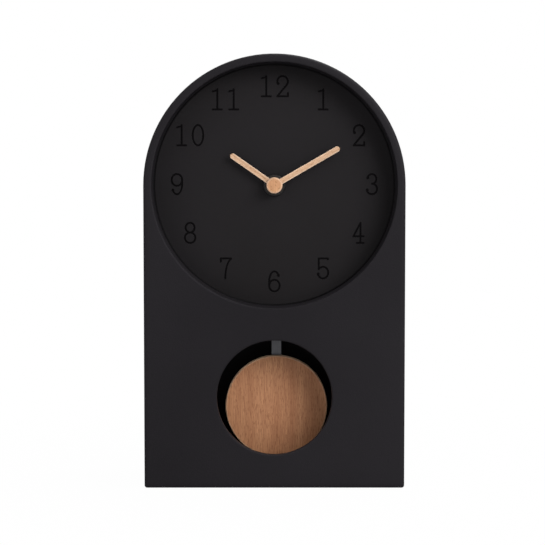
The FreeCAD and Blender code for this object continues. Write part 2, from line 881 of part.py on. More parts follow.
def train_plate():
    low = axis_z - plate_below_axis
    high = axis_z + plate_above_axis
    plate = box(-plate_half_width, plate_half_width, plate_y, plate_back_y, low, high)
    pegs = [cylinder(stator_peg_radius, x, z, plate_back_y, stator_y) for x, z in stator_peg_places()]
    plate = fuse([plate] + pegs)
    holes = [(0, axis_z, arbor_radius), (0, third_z, pivot_radius), (intermediate_x, axis_z, pivot_radius)]
    holes += [(rotor_x, axis_z, pivot_radius), (knob_x, axis_z, knob_shaft_radius)]
    for x, z, radius in holes:
        plate = plate.cut(cylinder(radius + running_gap, x, z, plate_y - overrun, plate_back_y + overrun))
    return plate


# Wheels

def minute_arbor():
    shaft = cylinder(minute_arbor_radius, 0, axis_z, arbor_tip_y, arbor_end_y)
    back = motion_wheel_y + wheel_thickness
    pinion = toothed_disc(cannon_teeth, motion_module, 0, axis_z, motion_wheel_y, back, 0)
    socket = cylinder(pivot_radius + running_gap, 0, axis_z, arbor_end_y - pivot_length - layer_gap,
                      arbor_end_y + overrun)
    return fuse([shaft, pinion]).cut(socket)


def hour_wheel():
    back = hour_wheel_y + wheel_thickness
    wheel = toothed_disc(hour_teeth, hour_module, 0, axis_z, hour_wheel_y, back, 0)
    pipe = cylinder(hour_tube_radius, 0, axis_z, hour_tube_end_y, hour_wheel_y)
    bore = cylinder(minute_arbor_radius + running_gap, 0, axis_z, hour_tube_end_y - overrun, back + overrun)
    return fuse([wheel, pipe]).cut(bore)


def motion_wheel():
    wheel_tooth = meshed_tooth(cannon_teeth, 0, 0, motion_teeth)
    pinion_tooth = meshed_tooth(hour_teeth, 0, 0, motion_leaves)
    wheel_back = motion_wheel_y + wheel_thickness
    wheel = toothed_disc(motion_teeth, motion_module, motion_x, axis_z, motion_wheel_y, wheel_back,
                         wheel_tooth)
    pinion = toothed_disc(motion_leaves, hour_module, motion_x, axis_z, hour_wheel_y, motion_wheel_y,
                          pinion_tooth)
    bore = cylinder(motion_post_radius + running_gap, motion_x, axis_z, floor_y, wheel_back + overrun)
    return fuse([wheel, pinion]).cut(bore)


def centre_wheel():
    back = centre_wheel_y + wheel_thickness
    wheel = toothed_disc(centre_teeth, centre_module, 0, axis_z, centre_wheel_y, back, 0)
    bore = cylinder(minute_arbor_radius + running_gap, 0, axis_z, centre_wheel_y - overrun, back + overrun)
    return wheel.cut(bore)


def clutch_washer():
    return tube(clutch_radius, minute_arbor_radius, 0, axis_z, clutch_y, arbor_end_y)


def third_wheel():
    leaf = meshed_tooth(centre_teeth, 0, 90, third_leaves)
    wheel_back = third_wheel_y + wheel_thickness
    wheel = toothed_disc(third_teeth, third_module, 0, third_z, third_wheel_y, wheel_back, 0)
    pinion = toothed_disc(third_leaves, centre_module, 0, third_z, centre_wheel_y, third_wheel_y, leaf)
    arbor = cylinder(arbor_radius, 0, third_z, hour_wheel_y, plate_y - layer_gap / 2)
    pivot = cylinder(pivot_radius, 0, third_z, floor_y - pivot_length, plate_y + pivot_length)
    return fuse([wheel, pinion, arbor, pivot])


def second_wheel():
    leaf = meshed_tooth(third_teeth, 0, 270, second_leaves)
    pinion_back = third_wheel_y + wheel_thickness
    wheel_back = second_wheel_y + wheel_thickness
    pinion = toothed_disc(second_leaves, third_module, 0, axis_z, third_wheel_y, pinion_back, leaf)
    wheel = toothed_disc(second_teeth, second_module, 0, axis_z, second_wheel_y, wheel_back, 0)
    arbor = cylinder(arbor_radius, 0, axis_z, third_wheel_y, wheel_back)
    pivot_back = second_boss_y() + pivot_length
    pivot = cylinder(pivot_radius, 0, axis_z, arbor_end_y - pivot_length, pivot_back)
    return fuse([pinion, wheel, arbor, pivot])


def intermediate_wheel():
    leaf = meshed_tooth(second_teeth, 0, 180, intermediate_leaves)
    wheel_back = intermediate_wheel_y + wheel_thickness
    wheel = toothed_disc(intermediate_teeth, rotor_module, intermediate_x, axis_z, intermediate_wheel_y,
                         wheel_back, 0)
    pinion = toothed_disc(intermediate_leaves, second_module, intermediate_x, axis_z, second_wheel_y,
                          intermediate_wheel_y, leaf)
    pivot = cylinder(pivot_radius, intermediate_x, axis_z, plate_back_y - pivot_length,
                     wheel_back + layer_gap + pivot_length)
    return fuse([wheel, pinion, pivot])


def rotor_shaft():
    leaf = meshed_tooth(intermediate_teeth, 0, 180, rotor_leaves)
    back = intermediate_wheel_y + wheel_thickness
    pinion = toothed_disc(rotor_leaves, rotor_module, rotor_x, axis_z, intermediate_wheel_y, back, leaf)
    arbor = cylinder(arbor_radius, rotor_x, axis_z, plate_back_y + layer_gap / 2,
                     magnet_y + magnet_thickness)
    pivot = cylinder(pivot_radius, rotor_x, axis_z, plate_back_y - pivot_length,
                     rotor_boss_y() + pivot_length)
    return fuse([pinion, arbor, pivot])


def rotor_magnet():
    return tube(magnet_radius, arbor_radius, rotor_x, axis_z, magnet_y, magnet_y + magnet_thickness)


def set_knob():
    leaf = meshed_tooth(motion_teeth, meshed_tooth(cannon_teeth, 0, 0, motion_teeth), 0, knob_teeth)
    pinion_back = motion_wheel_y + wheel_thickness
    knob_y = movement_back_y + knob_gap
    knob_back = knob_y + knob_thickness
    pinion = toothed_disc(knob_teeth, motion_module, knob_x, axis_z, motion_wheel_y, pinion_back, leaf)
    neck = cylinder(knob_pivot_radius, knob_x, axis_z, floor_y - pivot_length, motion_wheel_y)
    shaft = cylinder(knob_shaft_radius, knob_x, axis_z, pinion_back, knob_y)
    disc = cylinder(knob_radius, knob_x, axis_z, knob_y, knob_back)
    grooves = []
    for groove in range(knob_grooves):
        angle = 2 * math.pi * groove / knob_grooves
        x = knob_x + knob_radius * math.cos(angle)
        z = axis_z + knob_radius * math.sin(angle)
        grooves.append(cylinder(knob_groove_radius, x, z, knob_y - overrun, knob_back + overrun))
    disc = disc.cut(grooves)
    recess_y = knob_back - knob_recess_depth
    disc = disc.cut(cylinder(knob_recess_radius, knob_x, axis_z, recess_y, knob_back + overrun))
    return fuse([pinion, neck, shaft, disc])


# Stator, coil and circuit board

def stator_sides():
    """The x of the stator's left and right sides."""
    return rotor_x - stator_reach, rotor_x + stator_reach - bobbin_flange


def stator_peg_places():
    left, right = stator_sides()
    half = stator_arm_width / 2
    high = axis_z + core_height_above_axis - bobbin_half_height
    return [(left + half, axis_z), (right - half, high)]


def stator():
    left, right = stator_sides()
    back = stator_y + stator_thickness
    low = axis_z - stator_half_height
    high = axis_z + core_height_above_axis + core_width / 2
    bar_part = box(left, right, stator_y, back, low, axis_z + stator_half_height)
    left_arm = box(left, left + stator_arm_width, stator_y, back, axis_z, high)
    right_arm = box(right - stator_arm_width, right, stator_y, back, axis_z, high)
    shape = fuse([bar_part, left_arm, right_arm])
    for radius, x in ((magnet_radius, rotor_x), (boss_radius, intermediate_x)):
        hole = cylinder(radius + stator_hole_gap, x, axis_z, stator_y - overrun, back + overrun)
        shape = shape.cut(hole)
    return shape


def coil_core():
    left, right = stator_sides()
    middle = axis_z + core_height_above_axis
    half = core_width / 2
    return box(left, right, core_y, core_y + stator_thickness, middle - half, middle + half)


def coil_span():
    left, right = stator_sides()
    return left + stator_arm_width + bobbin_gap, right - stator_arm_width - bobbin_gap


def coil_block(x_from, x_to, half_depth, half_height):
    """A block round the coil core's middle line."""
    middle_y = core_y + stator_thickness / 2
    middle_z = axis_z + core_height_above_axis
    return box(x_from, x_to, middle_y - half_depth, middle_y + half_depth, middle_z - half_height,
               middle_z + half_height)


def coil_bobbin():
    left, right = coil_span()
    hole_depth = stator_thickness / 2 + bobbin_gap
    hole_height = core_width / 2 + bobbin_gap
    hub = coil_block(left, right, hole_depth + bobbin_wall, hole_height + bobbin_wall)
    near = coil_block(left, left + bobbin_flange, bobbin_half_depth, bobbin_half_height)
    far = coil_block(right - bobbin_flange, right, bobbin_half_depth, bobbin_half_height)
    hole = coil_block(left - overrun, right + overrun, hole_depth, hole_height)
    return fuse([hub, near, far]).cut(hole)


def coil_winding():
    left, right = coil_span()
    left += bobbin_flange
    right -= bobbin_flange
    hub_depth = stator_thickness / 2 + bobbin_gap + bobbin_wall
    hub_height = core_width / 2 + bobbin_gap + bobbin_wall
    blank = coil_block(left, right, bobbin_half_depth - winding_inset, bobbin_half_height - winding_inset)
    lengthwise = [edge for edge in blank.Edges if abs(edge.tangentAt(edge.FirstParameter).x) > 0.5]
    blank = blank.makeFillet(bobbin_half_depth - hub_depth, lengthwise)
    return blank.cut(coil_block(left - overrun, right + overrun, hub_depth, hub_height))


def board_top_z():
    return movement_top_z - housing_wall - board_edge_margin


def board_peg_places():
    """Where the rear case's pegs hold the two circuit boards."""
    top = board_top_z() - board_bar_height / 2
    x = plate_half_width - post_inset
    low = pivot_z - drive_board_below_pivot + board_edge_margin
    return [(-x, top), (x, top), (-x, low), (x, low)]


def board_reach():
    """Half the boards' length: their ends touch the battery contacts."""
    return contact_x - contact_thickness


def circuit_board():
    top = board_top_z()
    back = board_y + board_thickness
    reach = board_reach()
    strip = box(-reach, reach, board_y, back, top - board_bar_height, top)
    block = box(board_block_left, reach, board_y, back, top - board_block_height, top)
    chip = cylinder(chip_radius, chip_x, axis_z + chip_above_axis, board_y - chip_thickness, board_y)
    return fuse([strip, block, chip])


def quartz_crystal():
    place = vector(crystal_x, board_y - crystal_radius, axis_z + crystal_above_axis)
    can = Part.makeCylinder(crystal_radius, crystal_length, place, vector(1, 0, 0))
    return can.makeFillet(crystal_edge_radius, circular_edges(can))


# Battery

def battery_cell():
    along_x = vector(1, 0, 0)
    end = vector(battery_end_x, battery_y, battery_z)
    shoulder = vector(battery_body_x, battery_y, battery_z)
    body = Part.makeCylinder(battery_radius, battery_length, end, along_x)
    body = body.makeFillet(battery_end_radius, circular_edges(body))
    nub = Part.makeCylinder(battery_nub_radius, battery_nub_length, shoulder, along_x)
    return fuse([body, nub])


def contact_strip(side):
    """The flat strip of a battery contact, which runs from one circuit board to the other."""
    outer = side * contact_x
    inner = side * (contact_x - contact_thickness)
    low = pivot_z - drive_board_below_pivot
    high = board_top_z() - contact_end_inset
    y_from = battery_y - contact_bump_half
    return box(min(outer, inner), max(outer, inner), y_from, board_y + board_thickness, low, high)


def battery_contact_positive():
    return contact_strip(1)


def battery_contact_negative():
    root_x = -contact_x + contact_thickness
    crest_x = root_x + contact_bump
    low = battery_z - contact_bump_half
    high = battery_z + contact_bump_half
    outline = [(root_x, low), (crest_x, battery_z), (root_x, high), (root_x, high - contact_thickness * 2),
               (crest_x - contact_thickness, battery_z), (root_x, low + contact_thickness * 2)]
    bump = prism(outline, battery_y - contact_bump_half, battery_y + contact_bump_half)
    return fuse([contact_strip(-1), bump])


# Pendulum drive

def drive_bobbin():
    flanges = [cylinder(coil_flange_radius, pendulum_x, drive_magnet_z, y, y + coil_flange_thickness)
               for y in (coil_y, coil_end_y - coil_flange_thickness)]
    hub = cylinder(coil_inner_radius, pendulum_x, drive_magnet_z, coil_y, coil_end_y)
    bore = cylinder(coil_peg_radius, pendulum_x, drive_magnet_z, coil_y - overrun, coil_end_y + overrun)
    return fuse([hub] + flanges).cut(bore)


def drive_coil():
    y_from = coil_y + coil_flange_thickness
    return tube(coil_outer_radius, coil_inner_radius, pendulum_x, drive_magnet_z, y_from,
                y_from + coil_winding_length)


def drive_board():
    reach = board_reach()
    back = board_y + board_thickness
    low = pivot_z - drive_board_below_pivot
    board = box(-reach, reach, board_y, back, low, pivot_z + drive_board_above_pivot)
    clear = hanger_boss_radius + hanger_side_gap
    return board.cut(cylinder(clear, pendulum_x, pivot_z, board_y - overrun, back + overrun))


def hanger_pin():
    return cylinder(hanger_pin_radius, pendulum_x, pivot_z, floor_y, roof_y)


# Pendulum

def hanger_lever():
    bottom = pivot_z - hanger_drop
    eye = cylinder(hanger_eye_radius, pendulum_x, pivot_z, hanger_y, hanger_back_y)
    pad = cylinder(hanger_pad_radius, pendulum_x, drive_magnet_z, hanger_y, hanger_back_y)
    left = pendulum_x - hanger_half_width
    right = pendulum_x + hanger_half_width
    arm = box(left, right, hanger_y, hanger_back_y, bottom, pivot_z)
    neck_y = hanger_y - rod_thickness - 2 * hook_slack
    hook = cylinder(hook_radius, pendulum_x, hook_z, neck_y, hanger_y)
    head = cylinder(hook_head_radius, pendulum_x, hook_z, neck_y - hook_head_thickness, neck_y)
    lever = fuse([eye, pad, arm, hook, head])
    pin_hole = cylinder(hanger_pin_radius + running_gap, pendulum_x, pivot_z, hanger_y - overrun,
                        hanger_back_y + overrun)
    pocket_y = hanger_back_y - drive_magnet_thickness
    pocket = cylinder(drive_magnet_radius, pendulum_x, drive_magnet_z, pocket_y, hanger_back_y + overrun)
    return lever.cut([pin_hole, pocket])


def hanger_magnet():
    y_from = hanger_back_y - drive_magnet_thickness
    return cylinder(drive_magnet_radius, pendulum_x, drive_magnet_z, y_from, hanger_back_y)


def rod_bottom_z():
    return bob_centre_height - rod_end_share * bob_radius


def pendulum_rod():
    """A flat strip with a keyhole that hangs on the hanger's hook."""
    left = pendulum_x - rod_half_width
    right = pendulum_x + rod_half_width
    strip = box(left, right, rod_y, rod_back_y, rod_bottom_z(), hook_z + rod_above_hook)
    slot_half = hook_radius + hook_slack
    eye_z = hook_z - rod_eye_drop
    eye = cylinder(rod_eye_radius, pendulum_x, eye_z, rod_y - overrun, rod_back_y + overrun)
    slot = box(pendulum_x - slot_half, pendulum_x + slot_half, rod_y - overrun, rod_back_y + overrun,
               eye_z, hook_z)
    crown = cylinder(slot_half, pendulum_x, hook_z, rod_y - overrun, rod_back_y + overrun)
    return strip.cut([eye, slot, crown])


def pendulum_bob():
    disc = cylinder(bob_radius, pendulum_x, bob_centre_height, bob_y, rod_back_y)
    disc = disc.makeFillet(bob_edge_radius, edges_at(disc, bob_y))
    half = rod_half_width + bob_groove_gap
    low = rod_bottom_z() - bob_groove_gap
    top = bob_centre_height + bob_radius + overrun
    return disc.cut(box(pendulum_x - half, pendulum_x + half, rod_y, rod_back_y + overrun, low, top))


def bob_back_plate():
    radius = bob_plate_share * bob_radius
    return cylinder(radius, pendulum_x, bob_centre_height, rod_back_y, rod_back_y + bob_plate_thickness)


# One file for each piece, named after its function

pieces = [
    front_panel, case_shell, bottom_board, foot_pads, recess_ring, dial_plate, glue_blocks, back_panel,
    back_panel_screws, hour_hand, minute_hand, hour_hand_collet, minute_hand_collet, hub_cap, threaded_bush,
    fixing_nut, rubber_washer, movement_front_case, movement_rear_case, train_plate, minute_arbor, hour_wheel,
    motion_wheel, centre_wheel, clutch_washer, third_wheel, second_wheel, intermediate_wheel, rotor_shaft,
    rotor_magnet, set_knob, stator, coil_core, coil_bobbin, coil_winding, circuit_board, quartz_crystal,
    battery_cell, battery_contact_positive, battery_contact_negative, drive_bobbin, drive_coil, drive_board,
    hanger_pin, hanger_lever, hanger_magnet, pendulum_rod, pendulum_bob, bob_back_plate,
]

for piece in pieces:
    shape = piece()
    if isinstance(shape, list):
        shape = Part.makeCompound(shape)
    shape.exportStep("parts/" + piece.__name__ + ".step")
    print(piece.__name__, "solids", len(shape.Solids), "valid", shape.isValid(),
          "volume", round(shape.Volume, 2))
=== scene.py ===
import bpy
import math
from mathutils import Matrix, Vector


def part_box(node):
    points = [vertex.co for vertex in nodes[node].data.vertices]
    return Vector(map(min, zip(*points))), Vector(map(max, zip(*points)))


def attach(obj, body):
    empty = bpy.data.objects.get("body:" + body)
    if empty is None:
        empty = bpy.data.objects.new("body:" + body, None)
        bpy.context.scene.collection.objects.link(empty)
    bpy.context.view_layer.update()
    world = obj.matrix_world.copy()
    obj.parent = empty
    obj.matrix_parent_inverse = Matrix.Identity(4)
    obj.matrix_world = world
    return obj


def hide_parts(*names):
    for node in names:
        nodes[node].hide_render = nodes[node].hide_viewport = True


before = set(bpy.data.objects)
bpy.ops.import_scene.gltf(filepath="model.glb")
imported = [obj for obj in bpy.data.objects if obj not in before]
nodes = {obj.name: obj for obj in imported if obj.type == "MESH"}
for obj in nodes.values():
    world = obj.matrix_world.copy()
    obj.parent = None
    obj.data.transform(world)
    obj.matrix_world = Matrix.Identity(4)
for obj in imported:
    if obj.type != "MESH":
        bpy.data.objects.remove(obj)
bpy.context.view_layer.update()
mm = 0.001
unlimited = 1e6  # mm, far longer than any piece

# Small helpers for materials; in the settings of materials and pieces, lengths are in mm and
# angles in degrees


def toLinear(hexColour):
    channels = [int(hexColour[start:start + 2], 16) / 255 for start in (0, 2, 4)]
    linear = [c / 12.92 if c <= 0.04045 else ((c + 0.055) / 1.055) ** 2.4 for c in channels]
    return (*linear, 1.0)


def addNode(tree, kind, settings=None, inputs=None):
    # an input is a value, or another node's output to link
    node = tree.nodes.new(kind)
    for name, value in (settings or {}).items():
        setattr(node, name, value)
    for socket, value in (inputs or {}).items():
        if isinstance(value, bpy.types.NodeSocket):
            tree.links.new(value, node.inputs[socket])
        else:
            node.inputs[socket].default_value = value
    return node


def newMaterial(name, rough, specular=0.5, metal=0.0):
    material = bpy.data.materials.new(name)
    material.use_nodes = True
    tree = material.node_tree
    shader = tree.nodes["Principled BSDF"]
    shader.inputs["Roughness"].default_value = rough
    shader.inputs["Specular IOR Level"].default_value = specular
    shader.inputs["Metallic"].default_value = metal
    return material, tree, shader


def compute(tree, operation, *values):
    node = addNode(tree, "ShaderNodeMath", {"operation": operation}, dict(enumerate(values)))
    return node.outputs[0]


def times(tree, value, by, plus=0.0):
    return compute(tree, "MULTIPLY_ADD", value, by, plus)


def ramp(tree, value, low, high, toLow=0.0, toHigh=1.0, curve="LINEAR"):
    ranged = addNode(tree, "ShaderNodeMapRange", {"interpolation_type": curve}, {
        "Value": value, "From Min": low, "From Max": high, "To Min": toLow, "To Max": toHigh})
    return ranged.outputs["Result"]


def lengthOf(tree, vector):
    measured = addNode(tree, "ShaderNodeVectorMath", {"operation": "LENGTH"}, {0: vector})
    return measured.outputs["Value"]


def objectPlace(tree):
    return addNode(tree, "ShaderNodeTexCoord").outputs["Object"]


def placeAlong(tree, axis):
    return addNode(tree, "ShaderNodeSeparateXYZ", inputs={0: objectPlace(tree)}).outputs[axis]


def fitPlace(tree, size, centre, turn):
    # the place counted in sizes from the centre; turn is clockwise as seen from the front
    fitted = addNode(tree, "ShaderNodeMapping", {"vector_type": "TEXTURE"}, {
        "Vector": objectPlace(tree), "Location": centre, "Rotation": (0, math.radians(turn), 0),
        "Scale": [side * mm for side in size]})
    return fitted.outputs[0]


def grainNoise(tree, size, detail, centre=(0, 0, 0), turn=0.0, span=(0.3, 0.7), bend=0.0):
    # noise with cells of this size; its middle values, the span, are stretched to 0 and 1
    noise = addNode(tree, "ShaderNodeTexNoise", inputs={
        "Vector": fitPlace(tree, size, centre, turn), "Scale": 1.0, "Detail": detail,
        "Distortion": bend})
    return ramp(tree, noise.outputs["Fac"], *span)


def blendColours(tree, share, first, second):
    # a colour is an sRGB hex code, a linear colour or another node's output; the numbers are the
    # Mix node's sockets for colours
    first, second = [toLinear(c) if isinstance(c, str) else c for c in (first, second)]
    mixed = addNode(tree, "ShaderNodeMix", {"data_type": "RGBA"}, {0: share, 6: first, 7: second})
    return mixed.outputs[2]


def paint(tree, shader, colour):
    tree.links.new(colour, shader.inputs["Base Color"])


def varyRoughness(tree, shader, share, rough, spread):
    # rough is the middle of the spread
    tree.links.new(times(tree, share, spread, rough - spread / 2), shader.inputs["Roughness"])


def raiseBump(tree, shader, height, depth, over=None):
    bump = addNode(tree, "ShaderNodeBump", inputs={"Height": height, "Distance": depth * mm})
    if over is not None:
        tree.links.new(over, bump.inputs["Normal"])
    tree.links.new(bump.outputs["Normal"], shader.inputs["Normal"])


# Matt lacquer, sprayed on fibreboard: nearly black with a cold red cast, no gloss and a very fine
# orange peel; it rounds the outer edges softly and stays crisp at the two round holes

dialHole = {"x": 0, "z": 140, "radius": 56.3}
windowHole = {"x": 0, "z": 42.4, "radius": 26.5}
lacquer = {"colour": "181619", "drifted": "1d1b1e", "rough": 0.54, "specular": 0.08,
           "driftSize": 70, "driftDetail": 2, "dustSize": 0.25, "dustDetail": 4, "dustSpread": 0.08,
           "peelSize": 0.7, "peelDetail": 2, "peelDepth": 0.02, "softEdge": 3.2, "crispEdge": 0.5,
           "edgeSamples": 8, "crispHoles": (dialHole, windowHole)}
# the cut colour and the dulled sheen are painted shade in the numerals' cuts
dialLacquer = {**lacquer, "colour": "181617", "drifted": "1c1a1c", "cutShadeColour": "040304",
               "cutFade": (0.05, 0.35), "cutShadeDulling": 0.5, "peelSize": 0.5, "peelDepth": 0.012,
               "softEdge": 0.1, "crispHoles": ()}
cornerShadeLacquer = {**lacquer, "colour": "080708", "drifted": "0a090a", "specular": 0.04,
               "softEdge": 0.1, "crispHoles": ()}  # painted shade: darker and with less sheen for the corner, where little light comes


def edgeSoftness(tree, look):
    # wide along the outer edges, narrow at the holes' edges
    place = objectPlace(tree)
    softness = look["softEdge"] * mm
    for hole in look["crispHoles"]:
        middled = addNode(tree, "ShaderNodeVectorMath", {"operation": "SUBTRACT"}, {
            0: place, 1: (hole["x"] * mm, 0, hole["z"] * mm)})
        flat = addNode(tree, "ShaderNodeVectorMath", {"operation": "MULTIPLY"}, {
            0: middled.outputs[0], 1: (1, 0, 1)})
        grown = ramp(tree, lengthOf(tree, flat.outputs[0]),
                     hole["radius"] * mm, (hole["radius"] + look["softEdge"]) * mm,
                     look["crispEdge"] * mm, look["softEdge"] * mm)
        softness = compute(tree, "MINIMUM", grown, softness)
    return softness


def mattLacquer(name, look, cutFrom=None):
    material, tree, shader = newMaterial(name, look["rough"], look["specular"])
    drift = grainNoise(tree, [look["driftSize"]] * 3, look["driftDetail"])
    colour = blendColours(tree, drift, look["colour"], look["drifted"])
    if cutFrom is not None:  # painted shade: the floors of the cut numerals are painted darker and with less sheen
        fade = [cutFrom + depth * mm for depth in look["cutFade"]]
        cut = ramp(tree, placeAlong(tree, "Y"), *fade)
        colour = blendColours(tree, cut, colour, look["cutShadeColour"])
        sheen = times(tree, cut, -look["cutShadeDulling"] * look["specular"], look["specular"])
        tree.links.new(sheen, shader.inputs["Specular IOR Level"])
    paint(tree, shader, colour)
    dust = grainNoise(tree, [look["dustSize"]] * 3, look["dustDetail"])
    varyRoughness(tree, shader, dust, look["rough"], look["dustSpread"])
    peel = grainNoise(tree, [look["peelSize"]] * 3, look["peelDetail"])
    rounded = addNode(tree, "ShaderNodeBevel", {"samples": look["edgeSamples"]}, {
        "Radius": edgeSoftness(tree, look)})
    raiseBump(tree, shader, peel, look["peelDepth"], rounded.outputs[0])
    return material


# Oiled wood, planed and sanded: straight fibres, darker bands, short open pores along the grain
# and a painted highlight that makes the edges paler than the middle

oiled = {"specular": 0.35, "bandDetail": 2, "bandBend": 0.25, "fibreDetail": 3, "fibreBend": 0.1,
         "fibreDepth": 0.3, "poreDetail": 1, "poreRough": 0.25, "bumpDepth": 0.02}
# the edge colour and how far in it reaches paint a highlight along the rim
bobVeneer = {**oiled, "pale": "d49b70", "dark": "b97f58", "fibre": "945d3f", "pore": "7a472e",
             "rough": 0.55, "bandSize": (5, 9, 80), "fibreSize": (0.42, 0.8, 8),
             "poreSize": (0.3, 0.5, 2.0), "fibreShare": 0.6, "poreShare": 0.42,
             "poreSpan": (0.54, 0.68), "edge": "f0cba8", "highlightFrom": 0.968, "highlightShare": 1.0}
handWood = {**oiled, "pale": "d3b091", "dark": "c09c7e", "fibre": "ad815e", "pore": "946741",
            "rough": 0.5, "bandSize": (1.2, 3, 30), "fibreSize": (0.35, 0.6, 5),
            "poreSize": (0.3, 0.4, 1.5), "fibreShare": 0.6, "poreShare": 0.55,
            "poreSpan": (0.58, 0.68), "edge": "e0c5ac", "highlightFrom": 0.55, "highlightShare": 0.8}
capWood = {**handWood, "pale": "cf9f76", "dark": "ba8862", "fibre": "9c6945",
           "poreSize": (0.6, 0.5, 1.0), "poreShare": 0.7, "highlightFrom": 0.72, "highlightShare": 0.55}
handHalfWidth = 1.3
handTurns = {"hour": 305, "minute": 60}  # how the hands stand at rest


def oiledWood(name, look, centre, reach, turn=0.0):
    # reach is the half width and half height of the face
    material, tree, shader = newMaterial(name, look["rough"], look["specular"])
    bands = grainNoise(tree, look["bandSize"], look["bandDetail"], centre, turn,
                       bend=look["bandBend"])
    fibres = grainNoise(tree, look["fibreSize"], look["fibreDetail"], centre, turn,
                        bend=look["fibreBend"])
    pores = grainNoise(tree, look["poreSize"], look["poreDetail"], centre, turn,
                       span=look["poreSpan"])
    outward = lengthOf(tree, fitPlace(tree, (reach[0], unlimited, reach[1]), centre, turn))
    # painted highlight: near the rim the colour turns to the pale edge colour, as light on a
    # rounded edge
    edgeHighlight = ramp(tree, outward, look["highlightFrom"], 1.0, toHigh=look["highlightShare"])
    colour = blendColours(tree, bands, look["pale"], look["dark"])
    colour = blendColours(tree, times(tree, fibres, look["fibreShare"]), colour, look["fibre"])
    colour = blendColours(tree, times(tree, pores, look["poreShare"]), colour, look["pore"])
    paint(tree, shader, blendColours(tree, edgeHighlight, colour, look["edge"]))
    roughness = times(tree, pores, look["poreRough"], look["rough"])
    tree.links.new(roughness, shader.inputs["Roughness"])
    height = compute(tree, "MULTIPLY", times(tree, pores, -1.0, 1.0),
                     times(tree, fibres, -look["fibreDepth"], 1.0))
    raiseBump(tree, shader, height, look["bumpDepth"])
    return material


# Sawn fibreboard in short crossed flecks, darkened by the black spray that drifts into the case

rawBoard = {"pale": "40372e", "dark": "2c2622", "rough": 0.85, "specular": 0.2,
            "fleckSize": (0.5, 0.5, 1.6), "fleckDetail": 5, "fleckDepth": 0.08}


def sawnFibreboard(name, look):
    material, tree, shader = newMaterial(name, look["rough"], look["specular"])
    fleck = grainNoise(tree, look["fleckSize"], look["fleckDetail"])
    paint(tree, shader, blendColours(tree, fleck, look["pale"], look["dark"]))
    raiseBump(tree, shader, fleck, look["fleckDepth"])
    return material


# Moulded plastics, rubbers and pressed ferrite: one colour with a spark-eroded or polished tool's
# surface

moulded = {"specular": 0.4, "shadeSize": 12, "shadeDetail": 2, "fade": 1.12, "grainDetail": 4,
           "roughSpread": 0.12}
plastics = {
    "mouldedBlackAbs": {"colour": "1c1c1d", "rough": 0.5, "grainSize": 0.3, "grainDepth": 0.02},
    "mouldedBlackKnobAbs": {
        "colour": "202021", "rough": 0.38, "grainSize": 0.6, "grainDepth": 0.006},
    "mouldedGreyAcetal": {"colour": "c3c3bd", "rough": 0.42, "grainSize": 0.5, "grainDepth": 0.008},
    "mouldedWhiteAcetal": {"colour": "e5e3db", "rough": 0.3, "grainSize": 0.8, "grainDepth": 0.004},
    "mouldedRedAcetal": {"colour": "b83a34", "rough": 0.3, "grainSize": 0.8, "grainDepth": 0.004},
    "mouldedNylonBobbin": {"colour": "dedcd2", "rough": 0.4, "grainSize": 0.5, "grainDepth": 0.006},
    "mattPadRubber": {"colour": "1e1e1e", "rough": 0.85, "grainSize": 0.5, "grainDepth": 0.05},
    "mattWasherRubber": {"colour": "262626", "rough": 0.8, "grainSize": 0.4, "grainDepth": 0.04},
    "sinteredFerrite": {"colour": "4a4a4c", "rough": 0.6, "grainSize": 0.2, "grainDepth": 0.02},
}


def mouldedPlastic(name, look):
    material, tree, shader = newMaterial(name, look["rough"], look["specular"])
    shade = grainNoise(tree, [look["shadeSize"]] * 3, look["shadeDetail"])
    base = toLinear(look["colour"])
    faded = [min(1.0, channel * look["fade"]) for channel in base[:3]] + [1.0]
    paint(tree, shader, blendColours(tree, shade, base, faded))
    grain = grainNoise(tree, [look["grainSize"]] * 3, look["grainDetail"])
    varyRoughness(tree, shader, grain, look["rough"], look["roughSpread"])
    raiseBump(tree, shader, grain, look["grainDepth"])
    return material


# Metals: turned, stamped, drawn or plated, each with the fine lines of how it was made

worked = {"lineDetail": 4, "lineDepth": 0.006, "roughSpread": 0.16}
metals = {
    "turnedBrass": {
        "colour": "d8b36a", "dull": "b48a44", "rough": 0.28, "lineSize": (0.9, 0.12, 0.9)},
    "zincPlatedSteel": {
        "colour": "c6c8ca", "dull": "a8abaf", "rough": 0.34, "lineSize": (0.8, 0.8, 0.8)},
    "stampedCoreSteel": {
        "colour": "b3b3b5", "dull": "8f8f92", "rough": 0.4, "lineSize": (6, 0.6, 0.15)},
    "nickelPlatedMagnet": {
        "colour": "c5c2bc", "dull": "b4b0a9", "rough": 0.18, "lineSize": (2, 2, 2)},
    "nickelPlatedStrip": {
        "colour": "cdc9c0", "dull": "aba79e", "rough": 0.3, "lineSize": (0.2, 0.2, 8)},
    "drawnCrystalCan": {
        "colour": "cdcdd0", "dull": "b9b9bd", "rough": 0.2, "lineSize": (4, 0.3, 0.3)},
    "blackOxideSteel": {
        "colour": "3a3837", "dull": "242322", "rough": 0.36, "lineSize": (0.5, 0.5, 0.5)},
    "satinGreyAluminium": {
        "colour": "525254", "dull": "464649", "rough": 0.42, "lineSize": (0.12, 0.4, 5)},
}


def workedMetal(name, look):
    material, tree, shader = newMaterial(name, look["rough"], metal=1.0)
    lines = grainNoise(tree, look["lineSize"], look["lineDetail"])
    paint(tree, shader, blendColours(tree, lines, look["colour"], look["dull"]))
    varyRoughness(tree, shader, lines, look["rough"], look["roughSpread"])
    raiseBump(tree, shader, lines, look["lineDepth"])
    return material


# Enamelled copper wire in close turns, with painted shade in the gaps between them; real wire is
# 0.05 mm thick, drawn at 0.25 mm so that it shows

# the darker gap colour is painted shade between the turns
winding = {"crest": "c5723c", "gap": "6e3418", "pitch": 0.25, "turnDepth": 0.06, "rough": 0.3}
wavePeriod = math.pi / 10  # of the wave texture at scale 1


def evenWaves(tree, axis, pitch):
    waves = addNode(tree, "ShaderNodeTexWave", {"bands_direction": axis}, {
        "Vector": objectPlace(tree), "Scale": wavePeriod / (pitch * mm)})
    return waves.outputs["Fac"]


